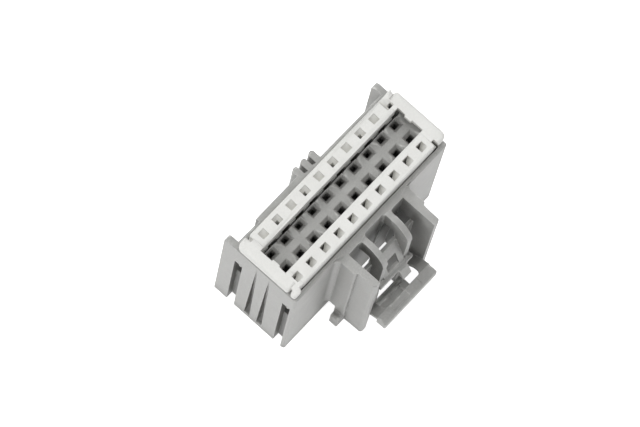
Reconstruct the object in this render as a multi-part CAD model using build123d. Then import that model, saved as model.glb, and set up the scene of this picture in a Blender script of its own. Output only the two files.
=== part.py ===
from build123d import *
import os

os.makedirs("parts", exist_ok=True)

# A twenty way wire-side connector housing with its front retainer, in millimetres.
# It stands on its wire entry face. +Z is the mating direction, X runs along the ten columns,
# and the locking lever is on the -Y side. The origin is under the middle of the contact field.

# Contact field
columns = 10
pitch = 2.5
row_pitch = 2.5
pin_hole_length = 0.95
pin_hole_height = 0.7
funnel_length = 1.65
funnel_height = 1.35
funnel_depth = 0.45
funnel_shift = 0.13
terminal_room_length = 1.9
terminal_room_height = 2.1
front_room_length = 1.6
front_room_height = 1.3
row_wall = 0.6
room_roof = 1.0
pin_plate = 1.7

# Housing body
body_height = 21.0
block_margin_x = 0.9
block_margin_y = 0.6
pocket_width = 2.65
pocket_depth = 7.6
leg_room = 0.6
leg_foot_gap = 0.7
leg_well_length = 1.9
leg_well_wall = 0.15
side_wall = 0.6
end_wall = 1.05
rim_chamfer = 0.2
rim_band = 0.55
rim_band_middle = 0.2
rim_band_height = 3.0
rim_band_taper = 18.0
corner_radius = 0.35

# End faces
slot_width = 1.2
slot_edge = 0.6
slot_top = 16.4
groove_spacing = 2.0
groove_offset = 0.2
groove_top = 20.0
groove_lip = 0.9
groove_depth = 1.0
groove_top_width = 0.22
groove_foot_width = 0.85

# Back face
flange_thickness = 0.9
flange_reach = 1.5
flange_radius = 0.75
rib_count = 3
rib_pitch = 1.45
rib_thickness = 0.9
rib_reach = 1.4
rib_crest_radius = 0.4
key_start = -9.3
key_end = -1.9
key_reach = 0.42

# Guard wings beside the lever
wing_gap = 9.9
wing_thickness = 1.0
wing_reach = 5.75
wing_foot = 1.0
wing_edge_radius = 0.45
root_thickness = 1.4
root_reach = 3.0
root_radius = 0.3
wall_blend_radius = 0.7
wing_notch_reach = 1.5
wing_notch_height = 3.9
wing_notch_skin = 0.5
toe_reach = 0.95
toe_start = 1.7
toe_width = 1.2
toe_height = 3.0
toe_radius = 0.4

# Locking lever, moulded in one with the housing
rail_gap = 3.66
rail_thickness = 0.82
rail_front = 4.5
rail_depth = 2.2
rail_top_height = 2.9
rail_bend_radius = 3.1
rail_foot = 1.0
rail_root_radius = 0.35
web_thickness = 0.5
web_setback = -0.05
web_top = 16.3
web_height = 3.8
brace_reach = 2.0
brace_knee = 11.8
brace_toe_reach = 0.3
brace_foot = 11.2
brace_window_width = 2.0
brace_window_foot = 12.2
brace_window_top = 14.4
bar_top = 12.0
bar_height = 0.8
bar_proud = 0.68
bar_thickness = 0.56
bar_end_length = 0.3
bar_end_lap = 0.45
nose_start = 0.2
nose_width = 1.45
nose_height = 1.45
nose_crest = 0.35
nose_reach = 1.1
nose_root = 0.3
nose_tip_height = 0.15
stop_top = 2.0
stop_height = 0.9
stop_reach = 1.7
stop_lap = 0.05
stop_lug_length = 1.1
stop_lug_reach = 0.9
stop_lug_rise = 0.35
ridge_radius = 0.45
ridge_offset = 0.6
ridge_rise = 0.15
tab_width = 9.66
tab_reach = 8.2
tab_top = 7.4
tab_thickness = 1.6
tab_bar = 1.45
tab_edge_radius = 0.3
tab_corner_radius = 0.18
arm_gap = 0.12
arm_inner = 3.35
arm_start = 3.5
arm_start_height = 5.3
arm_bend = 4.6
arm_bend_height = 5.9
arm_crest = 5.6
arm_crest_height = 6.95
arm_thickness = 0.7
arm_root_radius = 0.6
pad_length = 5.2
pad_height = 0.75
pad_depth = 0.12
mark_place = 2.37
mark_length = 0.9
mark_width = 0.12

# Front retainer
fit_gap = 0.1
back_gap = 0.27
proud = 2.0
strip_height = 3.2
strip_end_gap = 0.75
bar_plate = 0.65
bar_overhang = 0.25
bar_inner_gap = 0.3
bar_edge_radius = 0.42
bar_corner_radius = 0.85
bar_end_reach = 0.2
notch_depth = 0.7
slit_place = 0.63
slit_width = 0.3
slit_depth = 0.65
near_lobe_reach = 0.5
far_lobe_setback = 0.5
lobe_start = 12.7
lobe_radius = 0.4
lobe_roundness = 0.45
tongue_reach = 0.25
tongue_start = -0.25
tongue_length = 1.1
strip_undercut = 0.45
strip_undercut_height = 1.4
leg_width = 1.0
leg_thickness = 0.9
leg_length = 11.1
leg_end_gap = 0.3
barb_reach = 0.9
barb_root = 0.35
barb_height = 3.9
barb_width = 0.4
finger_length = 4.8
finger_width = 1.1
finger_thickness = 0.65
finger_lap = 1.6
back_finger_lap = 0.3
front_hole = 1.04
front_hole_shift = -0.51
back_hole = 1.05
back_hole_shift = 0.62
hole_line = 3.29
front_hole_ramp = (-1, 0.7, 1.11)
back_hole_depth = 1.0
back_hole_slope = (-0.42, -0.42, 1)
back_hole_drain = 0.55
last_dish_length = 1.1
last_dish_slope = (-0.5, -0.42, 1)
last_drain_shift = 0.5
frame_corner_radius = 0.3
frame_edge_radius = 0.2
travel = 1.3

# Places worked out from the sizes above
column_x = [(i - (columns - 1) / 2) * pitch for i in range(columns)]
block_x = column_x[-1] + block_margin_x
block_y = row_pitch / 2 + block_margin_y
pocket_x = block_x + leg_room
pocket_y = block_y + pocket_width
body_x = pocket_x + end_wall
body_y = pocket_y + side_wall
rim = body_height
pocket_floor = rim - pocket_depth
room_top = pocket_floor - room_roof
slot_outer = body_y - slot_edge
slot_inner = slot_outer - slot_width
wing_inner = wing_gap / 2
wing_outer = wing_inner + wing_thickness
wing_end = body_y + wing_reach
rail_inner = rail_gap / 2
rail_outer = rail_inner + rail_thickness
rail_face = body_y + rail_front
rail_back = rail_face - rail_depth
bar_face = rail_face + bar_proud
bar_back = bar_face - bar_thickness
frame_top = rim + proud
plate_foot = frame_top - bar_plate
strip_end = pocket_x - strip_end_gap
strip_outer = pocket_y - fit_gap
end_bar_inner = block_x + bar_inner_gap
end_bar_outer = body_x + bar_overhang
leg_well_depth = leg_length - proud + travel + leg_foot_gap


def block(x0, x1, y0, y1, z0, z1):
    """A box between six planes."""
    return Pos((x0 + x1) / 2, (y0 + y1) / 2, (z0 + z1) / 2) * Box(abs(x1 - x0), abs(y1 - y0), abs(z1 - z0))


def side_profile(points, x0, x1):
    """A solid with the outline (y, z) between two X planes."""
    outline = make_face(Polyline(points, close=True))
    return extrude(Plane.YZ.offset(x0) * outline, x1 - x0)


def end_profile(points, y0, y1):
    """A solid with the outline (x, z) between two Y planes, y0 above y1."""
    outline = make_face(Polyline(points, close=True))
    return extrude(Plane.XZ.offset(-y0) * outline, y0 - y1)


def inner_blend(x, y, x_side, y_side, radius, z0, z1):
    """The round filling of an upright inner corner, whose open side is given by the two signs."""
    filling = block(x, x + x_side * radius, y, y + y_side * radius, z0, z1)
    return filling - Pos(x + x_side * radius, y + y_side * radius, (z0 + z1) / 2) * Cylinder(
        radius, 2 * abs(z1 - z0))


def both_ends(shape):
    """The shape and its mirror image across the middle of the row."""
    return [shape, mirror(shape, about=Plane.YZ)]


def upright_edges(shape, x, y):
    """The vertical edges of a shape that stand at a plan position."""
    found = []
    for edge in shape.edges().filter_by(Axis.Z):
        centre = edge.center()
        if abs(abs(centre.X) - abs(x)) < 1e-3 and abs(centre.Y - y) < 1e-3:
            found.append(edge)
    return found


def terminal_room(x, side):
    """One contact's passage: wide behind, narrow beside the pockets, with a funnelled pin hole."""
    y_wall = side * row_wall / 2
    wide = block(x - terminal_room_length / 2, x + terminal_room_length / 2,
                 y_wall, y_wall + side * terminal_room_height, 0, room_top)
    narrow = block(x - front_room_length / 2, x + front_room_length / 2,
                   y_wall, y_wall + side * front_room_height, room_top, rim - pin_plate)
    hole_y = y_wall + side * (front_room_height - pin_hole_height / 2)
    hole = block(x - pin_hole_length / 2, x + pin_hole_length / 2,
                 hole_y - pin_hole_height / 2, hole_y + pin_hole_height / 2, rim - pin_plate, rim)
    mouth = Pos(x, hole_y - side * funnel_shift, rim) * Rectangle(funnel_length, funnel_height)
    throat = Pos(x, hole_y, rim - funnel_depth) * Rectangle(pin_hole_length, pin_hole_height)
    return wide + narrow + hole + loft([throat, mouth])


def end_groove(y):
    """A tapered groove in the end face, closed by a lip at its foot."""
    half_top = groove_top_width / 2
    half_foot = groove_foot_width / 2
    outline = make_face(Polyline([(y - half_top, groove_top), (y + half_top, groove_top),
                                  (y + half_foot, groove_lip), (y - half_foot, groove_lip)], close=True))
    trench = extrude(Plane.YZ.offset(-body_x) * outline, groove_depth)
    taper = end_profile([(-body_x, groove_top), (-body_x + groove_depth, groove_lip + 2 * groove_depth),
                         (-body_x + groove_depth / 2, groove_lip), (-body_x, groove_lip)],
                        y + groove_foot_width, y - groove_foot_width)
    return trench & taper


def rim_wedge(reach, x0, x1):
    """A thickening of the lever side's wall below the rim, that tapers out downwards."""
    wall_middle = -body_y + side_wall / 2
    band_foot = rim - rim_band_height
    wedge_foot = rim - rim_band_taper
    return side_profile([(wall_middle, rim), (-body_y - reach, rim), (-body_y - reach, band_foot),
                         (-body_y, wedge_foot), (wall_middle, wedge_foot)], x0, x1)


def make_shell():
    """The box of the housing, with the retainer's pockets, the slots and the grooves."""
    shell = block(-body_x, body_x, -body_y, body_y, 0, body_height)
    shell = fillet(shell.edges().filter_by(Axis.Z).group_by(Axis.Y)[0], corner_radius)
    shell = chamfer(shell.faces().sort_by(Axis.Z)[-1].edges(), rim_chamfer)
    well_wall = row_wall / 2 + terminal_room_height + leg_well_wall
    for side in (-1, 1):
        shell -= block(-pocket_x, pocket_x, side * block_y, side * pocket_y, pocket_floor, rim)
        for x_side in (-1, 1):
            shell -= block(x_side * pocket_x, x_side * (pocket_x - leg_well_length), side * well_wall,
                           side * pocket_y, rim - leg_well_depth, pocket_floor)
            shell -= block(x_side * pocket_x, x_side * body_x, side * slot_inner, side * slot_outer,
                           0, slot_top)
    for piece in both_ends(rim_wedge(rim_band, rail_inner, wing_inner)):
        shell += piece
    shell += rim_wedge(rim_band_middle, -rail_inner, rail_inner)
    for centre in (groove_offset - groove_spacing / 2, groove_offset + groove_spacing / 2):
        for groove in both_ends(end_groove(centre)):
            shell -= groove
    for x in column_x:
        for side in (-1, 1):
            shell -= terminal_room(x, side)
    return shell


def make_back_ribs():
    """Corner flanges, the middle ribs and the key step of the back face."""
    flange = block(-body_x, -body_x + flange_thickness, pocket_y, body_y + flange_reach, 0, body_height)
    far_top = flange.edges().filter_by(Axis.X).sort_by(Axis.Y)[-2:].sort_by(Axis.Z)[-1]
    flange = fillet(far_top, flange_radius)
    ribs = both_ends(flange)
    for i in range(rib_count):
        x = (i - (rib_count - 1) / 2) * rib_pitch
        rib = block(x - rib_thickness / 2, x + rib_thickness / 2, pocket_y + side_wall / 2,
                    body_y + rib_reach, 0, body_height)
        crest = rib.edges().filter_by(Axis.Z).sort_by(Axis.Y)[-2:]
        ribs.append(fillet(crest, rib_crest_radius))
    ribs.append(block(key_start, key_end, pocket_y + side_wall / 2, body_y + key_reach, 0, body_height))
    return ribs


def make_wing():
    """The guard wing at +X: a thick root on the wall, then a thinner plate with a round edge."""
    plate = block(wing_inner, wing_outer, -body_y + side_wall / 2, -wing_end, wing_foot, body_height)
    plate = fillet(upright_edges(plate, wing_outer, -wing_end), wing_edge_radius)
    root = block(wing_inner, wing_inner + root_thickness, -body_y + side_wall / 2, -body_y - root_reach,
                 wing_foot, body_height)
    root = fillet(upright_edges(root, wing_inner + root_thickness, -body_y - root_reach), root_radius)
    toe_near = body_y + toe_start
    toe = block(wing_inner + wing_thickness / 2, wing_inner + root_thickness + toe_reach,
                -toe_near, -toe_near - toe_width, 0, toe_height)
    toe = fillet(toe.edges().filter_by(Axis.Y).sort_by(Axis.X)[-2:], toe_radius)
    blend_x = wing_inner + root_thickness
    blend = inner_blend(blend_x, -body_y, 1, -1, wall_blend_radius, wing_foot, body_height)
    wing = plate + root + blend + toe
    wing -= block(wing_inner + wing_notch_skin, blend_x + 2 * wall_blend_radius, -body_y,
                  -body_y - wing_notch_reach, 0, wing_notch_height)
    return wing


def make_rail():
    """One rail of the lever at +X: out from the rim, round the bend and down to the stop bar."""
    outer = [(-body_y + side_wall / 2, rim), (-rail_face, rim), (-rail_face, rail_foot),
             (-rail_back, rail_foot), (-rail_back, rim - rail_top_height),
             (-body_y + side_wall / 2, rim - rail_top_height)]
    outline = make_face(Polyline(outer, close=True))
    bend = outline.vertices().sort_by(Axis.X)[:2].sort_by(Axis.Y)[-1]
    outline = fillet(bend, rail_bend_radius)
    rail = extrude(Plane.YZ.offset(rail_inner) * outline, rail_thickness)
    root_foot = rim - rail_top_height
    rail += inner_blend(rail_outer, -body_y - rim_band, 1, -1, rail_root_radius, root_foot, rim)
    rail += inner_blend(rail_inner, -body_y - rim_band_middle, -1, -1, rail_root_radius, root_foot, rim)
    return rail


def make_brace():
    """The tilted plate between the rails, from the web out to the cross bar, with its window."""
    back = -rail_back + web_setback
    front = back - web_thickness
    knee = front - brace_reach
    toe = knee - brace_toe_reach
    plate = side_profile([(back, web_top), (front, web_top), (knee, brace_knee), (toe, brace_foot),
                          (toe + web_thickness, brace_foot), (knee + web_thickness, brace_knee)],
                         -rail_inner, rail_inner)
    window = block(-brace_window_width / 2, brace_window_width / 2, back + web_thickness, -bar_face,
                   brace_window_foot, brace_window_top)
    return plate - window


def make_cross_bar():
    """The bar across the rails' fronts, with its end blocks and the nose that locks in the header."""
    foot = bar_top - bar_height
    bar = block(-rail_outer, rail_outer, -bar_back, -bar_face, foot, bar_top)
    end = block(rail_outer - bar_end_lap, rail_outer + bar_end_length, -rail_face + fit_gap, -bar_face,
                foot, bar_top)
    root_y = -bar_back - nose_root
    tip_y = -bar_face - nose_reach
    nose_foot = bar_top - nose_height
    nose = side_profile([(root_y, bar_top), (-bar_face - nose_crest, bar_top),
                         (tip_y, nose_foot + nose_tip_height), (tip_y, nose_foot), (root_y, nose_foot)],
                        nose_start, nose_start + nose_width)
    return [bar, nose] + both_ends(end)


def make_stop_bar():
    """The bar across the feet of the rails, with its round ridge and the lug at one end."""
    near = -rail_face + stop_lap
    far = near - stop_reach
    foot = stop_top - stop_height
    bar = block(-rail_outer, rail_outer, near, far, foot, stop_top)
    ridge = Pos(0, near - ridge_offset, stop_top - ridge_radius + ridge_rise) * Rot(0, 90, 0) * Cylinder(
        ridge_radius, 2 * rail_outer)
    lug = block(rail_outer - stop_lug_length, rail_outer, far, far + stop_lug_reach, foot,
                stop_top + stop_lug_rise)
    return [bar, ridge, lug]


def arm_profile(rise, x0, x1):
    """A plate of the arms' thickness under a line that rises towards the tab."""
    under = [(y, z - arm_thickness) for y, z in reversed(rise)]
    return side_profile(rise + under, x0, x1)


def make_tab():
    """The press tab: a bar past the wings on two arms that rise from the rails, with a bare pad."""
    tab_foot = tab_top - tab_thickness
    tab_far = -body_y - tab_reach
    tab_near = tab_far + tab_bar
    tab = block(-tab_width / 2, tab_width / 2, tab_near, tab_far, tab_foot, tab_top)
    tab = fillet(upright_edges(tab, tab_width / 2, tab_far), tab_corner_radius)
    outer_rim = tab.faces().sort_by(Axis.Z)[-1].edges().filter_by(Axis.X).sort_by(Axis.Y)[0]
    tab = fillet(outer_rim, tab_edge_radius)
    pad_y = tab_far + tab_edge_radius + (tab_bar - tab_edge_radius) / 2
    tab -= block(-pad_length / 2, pad_length / 2 - mark_place, pad_y - pad_height / 2, pad_y + pad_height / 2,
                 tab_top - pad_depth, tab_top)
    tab -= block(mark_place - mark_width / 2, mark_place + mark_width / 2, pad_y - mark_length / 2,
                 pad_y + mark_length / 2, tab_top - pad_depth, tab_top)
    arm_outer = wing_inner - arm_gap
    tie_rise = [(-body_y - arm_start, arm_start_height), (-body_y - arm_bend, arm_bend_height)]
    rise = tie_rise + [(-body_y - arm_crest, arm_crest_height), (tab_near, tab_top),
                       (tab_near - fit_gap, tab_top)]
    arm = arm_profile(rise, arm_inner - arm_root_radius, arm_outer)
    window_end = tab_near + arm_root_radius
    arm -= block(0, arm_inner, -body_y, window_end, 0, rim)
    arm -= Pos(arm_inner - arm_root_radius, window_end, tab_top) * Cylinder(arm_root_radius, 2 * tab_top)
    tie = arm_profile(tie_rise, rail_outer - rail_thickness / 2, arm_inner + fit_gap)
    return [tab] + both_ends(arm + tie)


def make_lever():
    """The lever's rails, web, brace, cross bar with its nose, stop bar and press tab."""
    web_back = -rail_back + web_setback
    web = block(-wing_inner - side_wall / 2, wing_inner + side_wall / 2, web_back, web_back - web_thickness,
                web_top - web_height, web_top)
    return both_ends(make_rail()) + [web, make_brace()] + make_cross_bar() + make_stop_bar() + make_tab()


def make_housing():
    """The grey housing as one moulding."""
    housing = make_shell()
    for piece in make_back_ribs() + both_ends(make_wing()) + make_lever():
        housing += piece
    return housing


def front_hole_cut(x):
    """A hole of the front strip: open along the contact side, ramped towards the outside."""
    half = front_hole / 2
    centre_y = -hole_line
    square = block(x - half, x + half, centre_y - half, centre_y + half, frame_top - strip_height, frame_top)
    ramp_plane = Plane(origin=(x + half, centre_y - half, frame_top), z_dir=front_hole_ramp)
    dish = split(square, bisect_by=ramp_plane, keep=Keep.TOP)
    outline = make_face(Polyline([(x - half, centre_y + half), (x + half, centre_y + half),
                                  (x - half, centre_y - half / 4)], close=True))
    drain = extrude(Pos(0, 0, frame_top - strip_height) * outline, strip_height)
    return dish + drain


def back_hole_cut(x, drained):
    """A hole of the back strip: a shallow dish, and every second one with a drain in its corner."""
    half = back_hole / 2
    square = block(x - half, x + half, hole_line - half, hole_line + half,
                   frame_top - 2 * back_hole_depth, frame_top)
    floor_plane = Plane(origin=(x - half, hole_line - half, frame_top - back_hole_depth),
                        z_dir=back_hole_slope)
    dish = split(square, bisect_by=floor_plane, keep=Keep.TOP)
    if not drained:
        return dish
    drain = block(x - half, x - half + back_hole_drain, hole_line - half, hole_line - half + back_hole_drain,
                  frame_top - strip_height, frame_top)
    return dish + drain


def last_hole_cut(x):
    """The last hole of the back strip: a dish that rises to the frame's corner, with a drain."""
    half = back_hole / 2
    wide = block(x - half, x - half + last_dish_length, hole_line - half, strip_outer,
                 frame_top - strip_height, frame_top)
    floor_plane = Plane(origin=(x - half, hole_line - half, frame_top - back_hole_depth),
                        z_dir=last_dish_slope)
    dish = split(wide, bisect_by=floor_plane, keep=Keep.TOP)
    drain_x = x - half + last_drain_shift
    drain = block(drain_x, drain_x + back_hole_drain, hole_line - half, hole_line - half + back_hole_drain,
                  frame_top - strip_height, frame_top)
    return dish + drain


def end_bar(x_side):
    """An end bar of the frame: one end rounds to a lobe, the other stops at the strip's lobe."""
    lobe_end = -x_side * (strip_outer + bar_end_reach)
    slit_end = x_side * (strip_outer - slit_place)
    bar = block(x_side * end_bar_inner, x_side * end_bar_outer, lobe_end, slit_end, plate_foot, frame_top)
    bar = fillet(upright_edges(bar, end_bar_outer, lobe_end), bar_corner_radius)
    bar = fillet(upright_edges(bar, end_bar_outer, slit_end), lobe_radius)
    far_rim = bar.faces().sort_by(Axis.Z)[-1].edges().filter_by(Axis.Y).sort_by(Axis.X)
    bar = fillet(far_rim[-1] if x_side > 0 else far_rim[0], bar_edge_radius)
    tie_reach = strip_outer - notch_depth
    tie = block(x_side * (strip_end - fit_gap), x_side * (end_bar_inner + fit_gap), -tie_reach, tie_reach,
                plate_foot, frame_top)
    field = block(-end_bar_inner, end_bar_inner, -block_y - fit_gap, block_y + back_gap,
                  plate_foot, frame_top)
    tongue = block(x_side * (end_bar_inner - tongue_reach), x_side * (end_bar_inner + fit_gap),
                   x_side * tongue_start, x_side * (tongue_start + tongue_length), plate_foot, frame_top)
    return bar + (tie - field) + tongue


def strip_lobe(x_side, x_reach, y_reach):
    """The lobe that carries a strip past the end of the bar, with a slit between them."""
    root_x = x_side * (strip_end - fit_gap)
    near_y = x_side * (strip_outer - slit_place - fit_gap)
    slit_y = x_side * (strip_outer - slit_place + slit_width)
    far_y = x_side * y_reach
    lobe = block(x_side * lobe_start, x_side * x_reach, slit_y, far_y, plate_foot, frame_top)
    corners = upright_edges(lobe, x_reach, slit_y) + upright_edges(lobe, x_reach, far_y)
    corners += upright_edges(lobe, lobe_start, far_y)
    lobe = fillet(corners, abs(far_y - slit_y) * lobe_roundness)
    neck = block(root_x, x_side * (x_reach - lobe_radius), slit_y, x_side * (strip_outer - fit_gap / 2),
                 plate_foot, frame_top)
    joint = block(root_x, x_side * (end_bar_outer - slit_depth), near_y, slit_y + x_side * fit_gap,
                  plate_foot, frame_top)
    return lobe + neck + joint


def make_leg(side):
    """A leg at the -X end, with the barb that sits in the slot of the end face."""
    leg_outer = -pocket_x + leg_end_gap
    leg_foot = frame_top - leg_length
    far = strip_outer - fit_gap / 2
    y0, y1 = sorted((side * far, side * (far - leg_width)))
    leg = block(leg_outer, leg_outer + leg_thickness, y0, y1, leg_foot, frame_top - strip_height)
    barb_top = leg_foot + barb_height
    barb = end_profile([(leg_outer + fit_gap, barb_top), (leg_outer - barb_reach, barb_top),
                        (leg_outer - barb_root, leg_foot + leg_end_gap), (leg_outer + fit_gap, leg_foot)],
                       y1, y1 - barb_width)
    beam = block(leg_outer, -strip_end + leg_thickness, y0, y1, frame_top - strip_height,
                 frame_top - strip_height / 2)
    return leg + barb + beam


def make_retainer():
    """The white frame that locks the terminals: two strips, two end bars, legs and fingers."""
    frame = Part()
    strip_foot = frame_top - strip_height
    for side, inner, lap in ((-1, block_y + fit_gap, finger_lap), (1, block_y + back_gap, back_finger_lap)):
        strip = block(-strip_end, strip_end, side * inner, side * strip_outer, strip_foot, frame_top)
        strip = fillet(upright_edges(strip, strip_end, side * strip_outer), frame_corner_radius)
        outer_rim = strip.faces().sort_by(Axis.Z)[-1].edges().filter_by(Axis.X).sort_by(Axis.Y)
        frame += fillet(outer_rim[-1] if side > 0 else outer_rim[0], frame_edge_radius)
        if side > 0:
            frame -= block(-strip_end, strip_end, inner, inner + strip_undercut,
                           strip_foot, strip_foot + strip_undercut_height)
        for x in column_x:
            frame += block(x - finger_width / 2, x + finger_width / 2, side * inner,
                           side * (inner + finger_thickness), strip_foot - finger_length,
                           strip_foot + lap)
    frame += end_bar(-1)
    frame += end_bar(1)
    frame += strip_lobe(-1, end_bar_outer, strip_outer + near_lobe_reach)
    frame += strip_lobe(1, end_bar_outer - far_lobe_setback, strip_outer)
    for side in (-1, 1):
        leg = make_leg(side)
        frame += leg
        frame += Rot(0, 0, 180) * leg
    for i, x in enumerate(column_x):
        frame -= front_hole_cut(x + front_hole_shift)
        if i < columns - 1:
            frame -= back_hole_cut(x + back_hole_shift, i % 2 == 1)
    return frame - last_hole_cut(column_x[-1] + back_hole_shift)


export_step(make_housing(), "parts/housing.step")
export_step(make_retainer(), "parts/retainer.step")
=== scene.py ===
"""A grey connector housing and its white front retainer, in moulded plastic on a white table."""

import math

import bmesh
import bpy
from mathutils import Matrix, Vector


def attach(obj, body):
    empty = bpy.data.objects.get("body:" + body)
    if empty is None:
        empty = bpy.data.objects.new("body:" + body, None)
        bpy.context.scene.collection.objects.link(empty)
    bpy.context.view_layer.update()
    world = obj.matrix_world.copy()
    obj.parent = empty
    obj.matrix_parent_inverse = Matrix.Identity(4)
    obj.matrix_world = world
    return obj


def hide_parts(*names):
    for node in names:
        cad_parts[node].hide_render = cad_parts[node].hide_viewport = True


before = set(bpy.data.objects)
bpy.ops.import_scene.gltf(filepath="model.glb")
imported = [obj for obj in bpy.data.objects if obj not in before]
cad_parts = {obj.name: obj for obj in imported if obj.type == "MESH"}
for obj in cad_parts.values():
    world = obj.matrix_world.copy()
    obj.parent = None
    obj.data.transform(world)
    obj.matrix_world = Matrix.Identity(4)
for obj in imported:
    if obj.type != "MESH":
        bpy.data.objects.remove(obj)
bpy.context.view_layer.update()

MM = 0.001

# Camera, from the perspective of the pin grid and the rims
view_azimuth = math.radians(-62.789)
view_elevation = math.radians(72.534)
view_roll = math.radians(15.486)
view_distance = 606.444 * MM
aim_point = Vector((-3.077, 0.533, 19.516)) * MM
sensor_width = 36.0
lens_length = 281.25

# Light: each lamp has its place in metres and its power in watts
lamps = {
    "left_low": ((-0.44, 0.0, 0.19), 0.25),
    "front": ((0.0, -0.40, 0.25), 0.10),
    "front_right": ((0.28, -0.28, 0.28), 0.04),
    "right": ((0.40, 0.0, 0.28), 0.02),
    "back_right": ((0.20, 0.28, 0.35), 0.38),
    "back_left": ((-0.20, 0.28, 0.35), 0.38),
    "top": ((-0.02, -0.02, 0.52), 0.60),
}
lamp_size = 0.2
surround_white = (1, 1, 1, 1)
surround_level = 0.44
floor_white = (0.96, 0.96, 0.96, 1)
floor_glow = 0.85
floor_size = 2.0

# Finish of each plastic: colours in plain light, range of roughness, strength of grain, of wear with
# painted edge highlight, and of painted shade
grey_finish = {
    "dark": (0.345, 0.345, 0.333, 1),
    "light": (0.485, 0.485, 0.470, 1),
    # lighter tone for worn edges and for painted edge highlight
    "worn_and_highlight": (0.72, 0.72, 0.70, 1),
    # painted shade colour for hollows; also the darker tone of the flow marks
    "painted_shade_and_flow": (0.13, 0.127, 0.12, 1),
    "smoothest": 0.42,
    "roughest": 0.55,
    "grain_strength": 0.4,
    "wear_and_highlight_strength": 1.0,
    "painted_shade_strength": 0.8,
}
white_finish = {
    "dark": (0.755, 0.755, 0.728, 1),
    "light": (0.85, 0.85, 0.823, 1),
    # lighter tone for worn edges and for painted edge highlight
    "worn_and_highlight": (0.93, 0.93, 0.91, 1),
    # painted shade colour for hollows; also the darker tone of the flow marks
    "painted_shade_and_flow": (0.50, 0.49, 0.45, 1),
    "smoothest": 0.36,
    "roughest": 0.48,
    "grain_strength": 0.2,
    "wear_and_highlight_strength": 0.5,
    "painted_shade_strength": 0.6,
}
flow_strength = 0.05
grain_height = 0.01 * MM

# Noises of the surface; each band of values is spread over nought to one
grain_noise = {"detail": 3.0, "roughness": 0.6, "band": (0.3, 0.7)}
mottle_noise = {"detail": 4.0, "roughness": 0.55, "band": (0.3, 0.7)}
share_noise = {"detail": 2.0, "roughness": 0.5, "band": (0.2, 0.8)}
flow_noise = {"detail": 3.0, "roughness": 0.5, "band": (0.35, 0.65)}
patch_noise = {"detail": 3.0, "roughness": 0.6, "band": (0.35, 0.65)}
flow_stretch = (1.0, 1.0, 0.25)

# Scales of the noises, in features per metre, and how far the wear with painted edge highlight and the
# painted shade in hollows reach
mould_scales = {"Grain Scale": 5200.0, "Mottle Scale": 420.0, "Share Scale": 160.0, "Flow Scale": 90.0}
edge_scales = {"Edge Reach": 0.2 * MM, "Hollow Reach": 4.0 * MM, "Patch Scale": 840.0}

# Where wear with painted edge highlight and painted shade begin and are full: cosine of the turn at an
# edge, open share of the sky in a hollow
edge_turn = (0.99, 0.8)
hollow_sky = (0.75, 0.3)
deep_hole_sky = (0.03, 0.18)
edge_samples = 4
hollow_samples = 6

# Rounding of the moulded edges
housing_rounding = 0.06 * MM
retainer_rounding = 0.05 * MM
rounding_segments = 2
sharp_angle = math.radians(28)
smooth_angle = math.radians(40)
shortest_edge = 0.35 * MM
merge_distance = 0.002 * MM


def new_group(name, inputs, outputs):
    """An empty node group with plain values in and out, and the sockets of its two ends."""
    tree = bpy.data.node_groups.new(name, "ShaderNodeTree")
    for title in inputs:
        tree.interface.new_socket(title, in_out="INPUT", socket_type="NodeSocketFloat")
    for title in outputs:
        tree.interface.new_socket(title, in_out="OUTPUT", socket_type="NodeSocketFloat")
    given = tree.nodes.new("NodeGroupInput").outputs
    result = tree.nodes.new("NodeGroupOutput").inputs
    return tree, given, result


def place_group(tree, group, values):
    """A node group placed in a material with its own values; gives its outputs."""
    node = tree.nodes.new("ShaderNodeGroup")
    node.node_tree = group
    for title, value in values.items():
        node.inputs[title].default_value = value
    return node.outputs


def object_place(tree):
    """The place on the piece, in the object's own coordinates."""
    return tree.nodes.new("ShaderNodeTexCoord").outputs["Object"]


def spread(tree, value, band):
    """Stretches a band of values over nought to one."""
    ramp = tree.nodes.new("ShaderNodeMapRange")
    ramp.inputs["From Min"].default_value, ramp.inputs["From Max"].default_value = band
    tree.links.new(value, ramp.inputs["Value"])
    return ramp.outputs["Result"]


def noise(tree, place, scale, kind):
    """A noise texture of one kind, spread over nought to one; its scale is a socket."""
    texture = tree.nodes.new("ShaderNodeTexNoise")
    texture.inputs["Detail"].default_value = kind["detail"]
    texture.inputs["Roughness"].default_value = kind["roughness"]
    tree.links.new(place, texture.inputs["Vector"])
    tree.links.new(scale, texture.inputs["Scale"])
    return spread(tree, texture.outputs["Fac"], kind["band"])


def join(tree, operation, first, second):
    """One value from two; the second is a socket or a plain number."""
    node = tree.nodes.new("ShaderNodeMath")
    node.operation = operation
    tree.links.new(first, node.inputs[0])
    if isinstance(second, float):
        node.inputs[1].default_value = second
    else:
        tree.links.new(second, node.inputs[1])
    return node.outputs["Value"]


def blend(tree, factor, first, second, strength=1.0):
    """Mixes two colours; each is a plain colour or a socket."""
    mix = tree.nodes.new("ShaderNodeMix")
    mix.data_type = "RGBA"
    colour_inputs = [socket for socket in mix.inputs if socket.type == "RGBA"]
    for socket, colour in zip(colour_inputs, (first, second)):
        if isinstance(colour, tuple):
            socket.default_value = colour
        else:
            tree.links.new(colour, socket)
    tree.links.new(join(tree, "MULTIPLY", factor, strength), mix.inputs["Factor"])
    return [socket for socket in mix.outputs if socket.type == "RGBA"][0]


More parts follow.
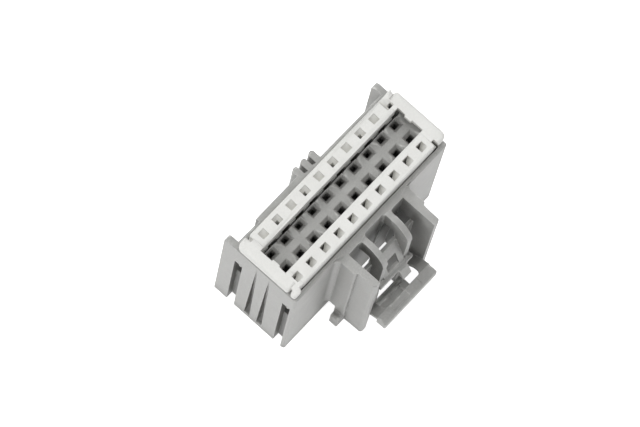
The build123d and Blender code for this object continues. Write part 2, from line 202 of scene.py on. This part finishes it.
def make_mould_group():
    """The surface of a spark-eroded mould: fine grain, soft mottling and long flow marks."""
    tree, given, result = new_group("mould_surface", mould_scales, ("Grain", "Mottle", "Share", "Flow"))
    place = object_place(tree)
    stretched = tree.nodes.new("ShaderNodeMapping")
    stretched.inputs["Scale"].default_value = flow_stretch
    tree.links.new(place, stretched.inputs["Vector"])
    along_flow = stretched.outputs["Vector"]
    tree.links.new(noise(tree, place, given["Grain Scale"], grain_noise), result["Grain"])
    tree.links.new(noise(tree, place, given["Mottle Scale"], mottle_noise), result["Mottle"])
    tree.links.new(noise(tree, place, given["Share Scale"], share_noise), result["Share"])
    tree.links.new(noise(tree, along_flow, given["Flow Scale"], flow_noise), result["Flow"])
    return tree


def make_edge_group():
    """Where edges are lightened, in uneven patches, for wear and as painted highlight, and where hollows
    get painted shade, but not deep holes.
    """
    tree, given, result = new_group("edges_and_hollows", edge_scales, ("Wear And Highlight", "Painted Shade"))
    # edges lightened for wear and as painted highlight, where the rounded normal turns from the true one
    rounded = tree.nodes.new("ShaderNodeBevel")
    rounded.samples = edge_samples
    tree.links.new(given["Edge Reach"], rounded.inputs["Radius"])
    geometry = tree.nodes.new("ShaderNodeNewGeometry")
    alike = tree.nodes.new("ShaderNodeVectorMath")
    alike.operation = "DOT_PRODUCT"
    tree.links.new(rounded.outputs["Normal"], alike.inputs[0])
    tree.links.new(geometry.outputs["True Normal"], alike.inputs[1])
    turned = spread(tree, alike.outputs["Value"], edge_turn)
    patches = noise(tree, object_place(tree), given["Patch Scale"], patch_noise)
    tree.links.new(join(tree, "MULTIPLY", turned, patches), result["Wear And Highlight"])
    # painted shade: hollows that see little sky get darker, deep holes are left out
    sky = tree.nodes.new("ShaderNodeAmbientOcclusion")
    sky.samples = hollow_samples
    tree.links.new(given["Hollow Reach"], sky.inputs["Distance"])
    painted_hollow_shade = spread(tree, sky.outputs["AO"], hollow_sky)
    not_deep = spread(tree, sky.outputs["AO"], deep_hole_sky)
    tree.links.new(join(tree, "MINIMUM", painted_hollow_shade, not_deep), result["Painted Shade"])
    return tree


def moulded_plastic(name, finish):
    """A moulded plastic with grain, mottling, edges lightened for wear and as painted highlight, and
    painted shade in its low places.
    """
    material = bpy.data.materials.new(name)
    material.use_nodes = True
    tree = material.node_tree
    shader = tree.nodes["Principled BSDF"]
    surface = place_group(tree, mould_group, mould_scales)
    edges = place_group(tree, edge_group, edge_scales)
    grains = blend(tree, surface["Grain"], finish["dark"], finish["light"])
    mottles = blend(tree, surface["Mottle"], finish["dark"], finish["light"])
    tone = blend(tree, surface["Share"], grains, mottles)
    tone = blend(tree, surface["Flow"], tone, finish["painted_shade_and_flow"], flow_strength)
    # painted shade: darkens hollows and corners where less light reaches
    tone = blend(tree, edges["Painted Shade"], tone, finish["painted_shade_and_flow"], finish["painted_shade_strength"])
    # edges lightened for wear and as painted highlight
    tone = blend(tree, edges["Wear And Highlight"], tone, finish["worn_and_highlight"], finish["wear_and_highlight_strength"])
    tree.links.new(tone, shader.inputs["Base Color"])
    roughness = tree.nodes.new("ShaderNodeMapRange")
    roughness.inputs["To Min"].default_value = finish["smoothest"]
    roughness.inputs["To Max"].default_value = finish["roughest"]
    tree.links.new(surface["Mottle"], roughness.inputs["Value"])
    tree.links.new(roughness.outputs["Result"], shader.inputs["Roughness"])
    bump = tree.nodes.new("ShaderNodeBump")
    bump.inputs["Strength"].default_value = finish["grain_strength"]
    bump.inputs["Distance"].default_value = grain_height
    tree.links.new(surface["Grain"], bump.inputs["Height"])
    tree.links.new(bump.outputs["Normal"], shader.inputs["Normal"])
    return material


def merged_mesh(node, name):
    """The mesh of a CAD node with its triangles joined, and its long sharp edges marked for rounding."""
    form = bmesh.new()
    form.from_mesh(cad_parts[node].data)
    bmesh.ops.remove_doubles(form, verts=form.verts, dist=merge_distance)
    bmesh.ops.dissolve_degenerate(form, dist=merge_distance / 2, edges=form.edges)
    bmesh.ops.recalc_face_normals(form, faces=form.faces)
    weight = form.edges.layers.float.new("bevel_weight_edge")
    for edge in form.edges:
        if edge.calc_face_angle(0.0) > sharp_angle and edge.calc_length() > shortest_edge:
            edge[weight] = 1.0
    mesh = bpy.data.meshes.new(name)
    form.to_mesh(mesh)
    form.free()
    return mesh


def settle_modifiers(piece, name):
    """Makes what the modifiers give the piece's plain mesh, and removes them."""
    shaped = piece.evaluated_get(bpy.context.evaluated_depsgraph_get())
    mesh = bpy.data.meshes.new_from_object(shaped)
    piece.modifiers.clear()
    piece.data = mesh
    mesh.name = name
    return mesh


def soft_edged_copy(node, name, width, material):
    """A copy of a CAD node whose long sharp edges have a small moulded rounding."""
    piece = bpy.data.objects.new(name, merged_mesh(node, name))
    bpy.context.scene.collection.objects.link(piece)
    rounding = piece.modifiers.new("rounding", "BEVEL")
    rounding.width = width
    rounding.segments = rounding_segments
    rounding.limit_method = "WEIGHT"
    rounding.use_clamp_overlap = False
    rounded = settle_modifiers(piece, name)
    for polygon in rounded.polygons:
        polygon.use_smooth = True
    rounded.set_sharp_from_angle(angle=smooth_angle)
    evening = piece.modifiers.new("evening", "WEIGHTED_NORMAL")
    evening.keep_sharp = True
    evened = settle_modifiers(piece, name)
    evened.materials.clear()
    evened.materials.append(material)
    return piece


def make_camera():
    """The camera at the photograph's angle, with its roll."""
    back = Vector((math.sin(view_azimuth) * math.cos(view_elevation),
                   -math.cos(view_azimuth) * math.cos(view_elevation),
                   math.sin(view_elevation)))
    right = Vector((0, 0, 1)).cross(back).normalized()
    up = back.cross(right)
    right_rolled = right * math.cos(view_roll) + up * math.sin(view_roll)
    up_rolled = up * math.cos(view_roll) - right * math.sin(view_roll)
    data = bpy.data.cameras.new("camera")
    data.sensor_width = sensor_width
    data.lens = lens_length
    camera = bpy.data.objects.new("camera", data)
    bpy.context.scene.collection.objects.link(camera)
    turn = Matrix((right_rolled, up_rolled, back)).transposed().to_4x4()
    camera.matrix_world = Matrix.Translation(aim_point + back * view_distance) @ turn
    bpy.context.scene.camera = camera


def make_lamp(name, place, power):
    """A soft square lamp that looks at the part."""
    data = bpy.data.lights.new(name, "AREA")
    data.energy = power
    data.size = lamp_size
    lamp = bpy.data.objects.new(name, data)
    bpy.context.scene.collection.objects.link(lamp)
    lamp.location = place
    lamp.rotation_mode = "QUATERNION"
    lamp.rotation_quaternion = (aim_point - Vector(place)).to_track_quat("-Z", "Y")


def make_surround():
    """An even pale surround."""
    world = bpy.data.worlds.new("surround")
    bpy.context.scene.world = world
    world.use_nodes = True
    background = world.node_tree.nodes["Background"]
    background.inputs["Color"].default_value = surround_white
    background.inputs["Strength"].default_value = surround_level


def floor_paint():
    """White paint that the camera, gloss and glass see as the photograph's white ground."""
    material = bpy.data.materials.new("floor_white")
    material.use_nodes = True
    tree = material.node_tree
    tree.nodes.clear()
    path = tree.nodes.new("ShaderNodeLightPath").outputs
    paint = tree.nodes.new("ShaderNodeBsdfDiffuse")
    paint.inputs["Color"].default_value = floor_white
    glow = tree.nodes.new("ShaderNodeEmission")
    both = tree.nodes.new("ShaderNodeAddShader")
    output = tree.nodes.new("ShaderNodeOutputMaterial")
    reflected = join(tree, "MAXIMUM", path["Is Glossy Ray"], path["Is Transmission Ray"])
    seen = join(tree, "MAXIMUM", path["Is Camera Ray"], reflected)
    tree.links.new(join(tree, "MULTIPLY", seen, floor_glow), glow.inputs["Strength"])
    tree.links.new(paint.outputs["BSDF"], both.inputs[0])
    tree.links.new(glow.outputs["Emission"], both.inputs[1])
    tree.links.new(both.outputs["Shader"], output.inputs["Surface"])
    return material


def make_floor():
    """A plain square floor under the part."""
    half = floor_size / 2
    corners = [(-half, -half, 0), (half, -half, 0), (half, half, 0), (-half, half, 0)]
    mesh = bpy.data.meshes.new("floor")
    mesh.from_pydata(corners, [], [(0, 1, 2, 3)])
    mesh.materials.append(floor_paint())
    floor = bpy.data.objects.new("floor", mesh)
    bpy.context.scene.collection.objects.link(floor)


# Studio
make_camera()
make_surround()
make_floor()
for lamp_name, (lamp_place, lamp_power) in lamps.items():
    make_lamp(lamp_name, lamp_place, lamp_power)
bpy.context.scene.view_settings.view_transform = "Standard"

# Plastics
mould_group = make_mould_group()
edge_group = make_edge_group()
grey = moulded_plastic("grey_moulding", grey_finish)
white = moulded_plastic("white_moulding", white_finish)

# Pieces
housing = soft_edged_copy("housing", "housing_moulding", housing_rounding, grey)
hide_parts("housing")
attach(housing, "housing")
retainer = soft_edged_copy("retainer", "retainer_moulding", retainer_rounding, white)
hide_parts("retainer")
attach(retainer, "retainer")
